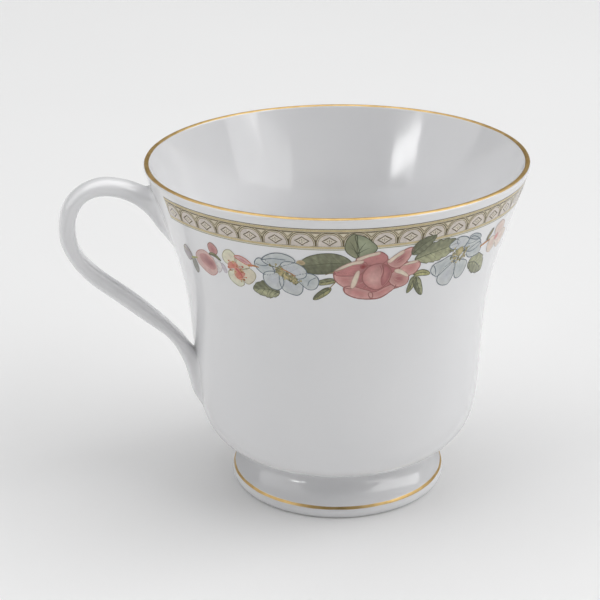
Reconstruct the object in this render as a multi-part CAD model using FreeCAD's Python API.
"""Footed porcelain teacup: a tall flared bowl on a hollow pedestal foot, with a loop handle.

Frame: millimetres, +Z up, origin on the bowl's axis in the plane of the foot's resting ring.
The handle points along -X, and the two flower prints are centred on -Y and +Y.
The bowl, the foot and the handle are cast apart and joined with slip. Gilt lines and printed
transfers lie on the glaze.
"""
import FreeCAD, Part
import math
import os

# Overall sizes
CUP_HEIGHT = 81.5
RIM_RADIUS = 44.7
GILT = 0.1               # thickness of the gilt film
PRINT = 0.1              # thickness of a printed transfer
SLIP = 0.3               # thickness of a slip joint
FILM_SECTORS = 8         # sectors that each gilt line is made of, round the axis
TOP = CUP_HEIGHT + 20.0  # height above every part, for cutting tools

# Rounded lip: the porcelain ends in a half round, and the gilt film lies over it
LIP_RADIUS = 0.7
LIP_CENTRE_R = RIM_RADIUS - GILT - LIP_RADIUS
LIP_CENTRE_Z = CUP_HEIGHT - GILT - LIP_RADIUS
RIM_FLARE = 19.0         # degrees that the wall leans outward at the lip
RIM_GILT = (40.0, 140.0) # degrees round the lip, from the outside, that the rim's gilt line covers

# Pedestal foot
FOOT_RADIUS = 26.2       # widest, just above the resting ring
FOOT_HEIGHT = 10.5
WAIST_RADIUS = 21.0      # where the foot meets the bowl
WAIST_BORE = 17.8        # radius of the hollow at the waist
RING_OUTER = 25.5        # flat resting ring
RING_INNER = 23.4
SHOULDER_R = 25.5        # edge that carries the gilt line
SHOULDER_Z = 3.0
FOOT_GILT_FROM = 2.33
FOOT_GILT_TO = 2.95

# Bowl
FLOOR_Z = 14.0                      # inside of the bottom
UNDERSIDE_Z = FOOT_HEIGHT + SLIP    # outside of the bottom
UNDERSIDE_R = 22.6                  # flat part of the outside of the bottom
FLOOR_R = 21.5                      # flat part of the inside of the bottom
# (radius, height) along the walls, between the bottom and the lip
OUTER_WALL = [
    (25.6, 11.15),
    (29.2, 13.0),
    (32.1, 16.6),
    (33.7, 22.0),
    (34.5, 31.0),
    (35.2, 43.0),
    (37.0, 55.5),
    (40.4, 67.3),
]
INNER_WALL = [
    (24.5, 14.4),
    (27.6, 16.0),
    (30.3, 19.5),
    (31.7, 24.5),
    (32.5, 32.0),
    (33.2, 43.2),
    (35.0, 55.8),
    (38.6, 67.8),
]

# Handle: (outer x, outer z, inner x, inner z, width, taper) at stations from the upper joint
# round the loop to the lower joint. x is the distance from the axis, and taper narrows the
# section towards its inner edge.
HANDLE = [
    (41.2, 75.1, 36.7, 60.9, 10.0, 0.5),
    (43.0, 76.1, 39.1, 63.3, 9.4, 0.45),
    (44.9, 77.2, 41.3, 65.9, 8.6, 0.4),
    (48.2, 78.7, 44.7, 71.0, 7.2, 0.25),
    (51.6, 79.6, 49.3, 74.7, 6.4, 0.1),
    (55.2, 79.7, 53.9, 76.0, 6.2, 0.0),
    (58.8, 78.5, 57.2, 75.5, 6.2, 0.0),
    (61.9, 76.2, 59.3, 73.8, 6.2, 0.0),
    (64.0, 72.7, 60.5, 71.3, 6.2, 0.0),
    (64.75, 68.7, 60.9, 68.6, 6.2, 0.0),
    (64.5, 64.9, 60.7, 65.5, 6.2, 0.0),
    (63.0, 61.1, 60.0, 62.8, 6.3, 0.0),
    (59.1, 55.6, 56.4, 58.0, 6.4, 0.0),
    (52.5, 49.7, 49.7, 52.2, 6.4, 0.0),
    (45.9, 43.9, 43.6, 46.5, 6.4, 0.0),
    (41.0, 39.4, 38.6, 41.1, 6.2, 0.0),
    (38.4, 34.9, 35.3, 36.3, 6.4, 0.0),
    (37.0, 31.0, 33.4, 31.6, 6.6, 0.0),
    (36.2, 27.4, 32.6, 27.6, 6.6, 0.0),
    (35.5, 24.8, 32.0, 21.9, 6.2, 0.0),
]
SECTION_POINTS = 20
OUTER_POWER = 0.9        # 1 makes the section's outer half an ellipse
INNER_POWER = 0.6        # below 1 makes its inner half squarer
JOINTS_SPLIT_Z = 50.0    # the upper joint is above this height and the lower one below

# Border print: a band below the rim, open at the handle
BORDER_FROM = 73.85
BORDER_TO = 79.15
BORDER_GAP = 19.0        # degrees either side of the handle

# Flower print: (degrees to the right of its middle, height, half width, half height, tilt) of
# the areas that its colour covers
MOTIFS = [
    (-0.5, 67.6, 8.6, 6.4, 8.0),      # rose
    (-11.5, 74.4, 4.4, 2.9, 20.0),    # top leaf, over the border
    (-26.0, 67.0, 6.6, 5.4, 0.0),     # left blue flower
    (26.5, 64.6, 6.6, 5.6, 0.0),      # right blue flower
    (-43.5, 67.0, 4.4, 4.0, 0.0),     # cream blossom
    (-57.5, 66.8, 3.6, 3.4, -30.0),   # pink blossom
    (-65.5, 68.0, 2.8, 2.0, -50.0),   # end bud
    (49.5, 66.4, 5.6, 3.4, 50.0),     # right blossom
    (15.5, 70.6, 5.2, 3.0, 40.0),     # leaves right of the rose
    (19.0, 70.4, 6.4, 2.4, 15.0),
    (12.5, 62.0, 3.0, 2.6, 0.0),      # small leaves below
    (-14.5, 68.8, 5.6, 2.4, -10.0),   # leaves between the rose and the left blue flower
    (-14.5, 64.6, 4.6, 1.8, 10.0),
    (-31.5, 63.6, 3.4, 1.6, 30.0),
]


def vector(r, z):
    """A point in the XZ half plane."""
    return FreeCAD.Vector(r, 0, z)


def curve_through(points):
    """A smooth curve through points in the XZ half plane."""
    curve = Part.BSplineCurve()
    curve.interpolate(Points=[vector(r, z) for r, z in points])
    return curve


def polyline(points):
    """Straight edges through points in the XZ half plane."""
    places = [vector(r, z) for r, z in points]
    return [Part.LineSegment(a, b).toShape() for a, b in zip(places, places[1:])]


def turned(edges):
    """The solid made by turning a closed outline about the cup's axis."""
    face = Part.Face(Part.Wire(Part.__sortEdges__(edges)))
    return face.revolve(FreeCAD.Vector(0, 0, 0), FreeCAD.Vector(0, 0, 1), 360)


def turned_film(edges):
    """A thin film all round the axis, made of equal sectors so that none of its faces is long
    and narrow."""
    face = Part.Face(Part.Wire(Part.__sortEdges__(edges)))
    step = 360.0 / FILM_SECTORS
    sector = face.revolve(FreeCAD.Vector(0, 0, 0), FreeCAD.Vector(0, 0, 1), step)
    sectors = []
    for k in range(FILM_SECTORS):
        piece = sector.copy()
        piece.rotate(FreeCAD.Vector(0, 0, 0), FreeCAD.Vector(0, 0, 1), k * step)
        sectors.append(piece)
    return sectors[0].fuse(sectors[1:])


def slab(low, high):
    """A wide flat disc between two heights."""
    return Part.makeCylinder(2 * RIM_RADIUS, high - low, FreeCAD.Vector(0, 0, low))


def lip_point(degrees, radius):
    """A point on the lip's half round."""
    angle = math.radians(degrees)
    return (LIP_CENTRE_R + radius * math.cos(angle), LIP_CENTRE_Z + radius * math.sin(angle))


def outer_curve(offset):
    """The bowl's outer line from the flat of its bottom to the lip, moved out by offset."""
    base = [(UNDERSIDE_R, UNDERSIDE_Z)] + OUTER_WALL + [lip_point(-RIM_FLARE, LIP_RADIUS)]
    curve = curve_through(base)
    if offset == 0:
        return curve
    moved = []
    for r, z in base:
        along = curve.tangent(curve.parameter(vector(r, z)))[0]
        moved.append((r + offset * along.z, z - offset * along.x))
    return curve_through(moved)


def inner_curve():
    """The bowl's inner line from the lip down to the flat of its floor."""
    points = [lip_point(180 - RIM_FLARE, LIP_RADIUS)] + INNER_WALL[::-1] + [(FLOOR_R, FLOOR_Z)]
    return curve_through(points)


def lip_arc(radius, start=-RIM_FLARE, end=180 - RIM_FLARE):
    """Part of the lip's round, from the outer wall over the crest to the inner wall."""
    places = [lip_point(degrees, radius) for degrees in (start, 0.5 * (start + end), end)]
    return Part.Arc(*[vector(*place) for place in places]).toShape()


def bowl():
    """Tall flared bowl with a rounded lip and a flat underside for the foot."""
    edges = [outer_curve(0).toShape(), lip_arc(LIP_RADIUS), inner_curve().toShape()]
    edges += polyline([(FLOOR_R, FLOOR_Z), (0, FLOOR_Z), (0, UNDERSIDE_Z), (UNDERSIDE_R, UNDERSIDE_Z)])
    return turned(edges)


def filled_bowl(offset):
    """The bowl's outer form as one solid up to the lip, moved out by offset."""
    curve = outer_curve(offset)
    start = curve.StartPoint
    end = curve.EndPoint
    edges = [curve.toShape()]
    edges += polyline([(end.x, end.z), (0, end.z), (0, start.z), (start.x, start.z)])
    return turned(edges)


def foot_outline(offset):
    """The foot's outer line, from the resting ring over the shoulder to the waist."""
    swell = Part.Arc(
        vector(RING_OUTER + offset, 0),
        vector(FOOT_RADIUS + offset, 1.0),
        vector(SHOULDER_R + offset, SHOULDER_Z),
    )
    skirt_points = [
        (SHOULDER_R + offset, SHOULDER_Z),
        (23.2 + offset, 4.6),
        (21.4 + offset, 7.6),
        (WAIST_RADIUS + offset, FOOT_HEIGHT),
    ]
    return [swell.toShape(), curve_through(skirt_points).toShape()]


def pedestal_foot():
    """Hollow spreading foot with a flat resting ring."""
    hollow = curve_through([(WAIST_BORE, FOOT_HEIGHT), (18.4, 6.6), (20.6, 2.8), (RING_INNER, 0)])
    edges = foot_outline(0) + [hollow.toShape()]
    edges += polyline([(WAIST_RADIUS, FOOT_HEIGHT), (WAIST_BORE, FOOT_HEIGHT)])
    edges += polyline([(RING_INNER, 0), (RING_OUTER, 0)])
    return turned(edges)


def foot_slip_joint():
    """Ring of slip between the foot's waist and the bowl's underside."""
    ring = Part.makeCylinder(WAIST_RADIUS, SLIP, FreeCAD.Vector(0, 0, FOOT_HEIGHT))
    return ring.cut(Part.makeCylinder(WAIST_BORE, SLIP, FreeCAD.Vector(0, 0, FOOT_HEIGHT)))


def handle_section(outer_x, outer_z, inner_x, inner_z, width, taper):
    """One closed section of the handle: crowned outside, flatter inside."""
    points = []
    for index in range(SECTION_POINTS):
        angle = 2 * math.pi * index / SECTION_POINTS
        across = math.cos(angle)
        side = math.sin(angle)
        power = OUTER_POWER if across > 0 else INNER_POWER
        depth = 0.5 + 0.5 * math.copysign(abs(across) ** power, across)
        half = 0.5 * width * (1 - taper * (1 - depth))
        x = inner_x + depth * (outer_x - inner_x)
        z = inner_z + depth * (outer_z - inner_z)
        y = half * math.copysign(abs(side) ** power, side)
        points.append(FreeCAD.Vector(-x, y, z))
    curve = Part.BSplineCurve()
    curve.interpolate(Points=points, PeriodicFlag=True)
    return Part.Wire(curve.toShape())


def handle_parts():
    """The handle's loop and the two slip joints that hold it to the bowl."""
    loop = Part.makeLoft([handle_section(*station) for station in HANDLE], True)
    reach = filled_bowl(SLIP)
    seams = loop.common(outer_skin(SLIP))
    upper = seams.common(slab(JOINTS_SPLIT_Z, TOP))
    lower = seams.common(slab(0, JOINTS_SPLIT_Z))
    return loop.cut(reach), upper, lower


def rim_gold_line():
    """Gilt film over the crest of the lip."""
    edges = [lip_arc(LIP_RADIUS, *RIM_GILT), lip_arc(LIP_RADIUS + GILT, *RIM_GILT)]
    for degrees in RIM_GILT:
        edges += polyline([lip_point(degrees, LIP_RADIUS), lip_point(degrees, LIP_RADIUS + GILT)])
    return turned_film(edges)


def foot_gold_line():
    """Gilt line round the foot's shoulder."""
    waist = WAIST_RADIUS + GILT
    edges = foot_outline(GILT)
    edges += polyline([(waist, FOOT_HEIGHT), (WAIST_RADIUS, FOOT_HEIGHT), (WAIST_RADIUS, 0)])
    edges += polyline([(WAIST_RADIUS, 0), (RING_OUTER + GILT, 0)])
    film = turned_film(edges).cut(pedestal_foot())
    return film.common(slab(FOOT_GILT_FROM, FOOT_GILT_TO))


def motif_prism(degrees, height, half_width, half_height, tilt):
    """A long prism that points outward from the axis through one printed area."""
    major = max(half_width, half_height)
    minor = min(half_width, half_height)
    ellipse = Part.Ellipse(FreeCAD.Vector(0, 0, 0), major, minor)
    face = Part.Face(Part.Wire(ellipse.toShape()))
    prism = face.extrude(FreeCAD.Vector(0, 0, 2 * RIM_RADIUS))
    turn = tilt if half_width >= half_height else tilt + 90
    prism.rotate(FreeCAD.Vector(0, 0, 0), FreeCAD.Vector(0, 0, 1), turn)
    prism.rotate(FreeCAD.Vector(0, 0, 0), FreeCAD.Vector(1, 0, 0), 90)
    prism.translate(FreeCAD.Vector(0, 0, height))
    prism.rotate(FreeCAD.Vector(0, 0, 0), FreeCAD.Vector(0, 0, 1), degrees)
    return prism


def outer_skin(thickness):
    """The thin layer that lies on the bowl's outer wall."""
    inside = outer_curve(0)
    outside = outer_curve(thickness)
    edges = [inside.toShape(), outside.toShape()]
    for a, b in ((inside.StartPoint, outside.StartPoint), (inside.EndPoint, outside.EndPoint)):
        edges += polyline([(a.x, a.z), (b.x, b.z)])
    return turned(edges)


def garland(skin):
    """The flower print centred on -Y."""
    prisms = [motif_prism(*motif) for motif in MOTIFS]
    return skin.common(prisms[0].fuse(prisms[1:])).removeSplitter()


def border_transfer(skin, garlands):
    """The band below the rim, open at the handle and where the flower prints lie over it."""
    band = skin.common(slab(BORDER_FROM, BORDER_TO))
    wedge = Part.makeCylinder(
        2 * RIM_RADIUS, TOP, FreeCAD.Vector(0, 0, 0), FreeCAD.Vector(0, 0, 1), 2 * BORDER_GAP
    )
    wedge.rotate(FreeCAD.Vector(0, 0, 0), FreeCAD.Vector(0, 0, 1), 180 - BORDER_GAP)
    return band.cut([wedge] + garlands)


def main():
    """Build every node and write one STEP file for each."""
    os.makedirs("parts", exist_ok=True)
    loop, upper_slip, lower_slip = handle_parts()
    skin = outer_skin(PRINT)
    front = garland(skin)
    back = front.copy()
    back.rotate(FreeCAD.Vector(0, 0, 0), FreeCAD.Vector(0, 0, 1), 180)
    nodes = {
        "bowl": bowl(),
        "pedestal_foot": pedestal_foot(),
        "foot_slip_joint": foot_slip_joint(),
        "handle": loop,
        "upper_handle_slip": upper_slip,
        "lower_handle_slip": lower_slip,
        "rim_gold_line": rim_gold_line(),
        "foot_gold_line": foot_gold_line(),
        "border_transfer": border_transfer(skin, [front, back]),
        "garland_transfer_front": front,
        "garland_transfer_back": back,
    }
    for name, shape in nodes.items():
        box = shape.BoundBox
        print(
            f"{name}: valid {shape.isValid()}, solids {len(shape.Solids)}, volume {shape.Volume:.1f}, "
            f"x {box.XMin:.2f} {box.XMax:.2f}, y {box.YMin:.2f} {box.YMax:.2f}, "
            f"z {box.ZMin:.2f} {box.ZMax:.2f}"
        )
        shape.exportStep(f"parts/{name}.step")


main()
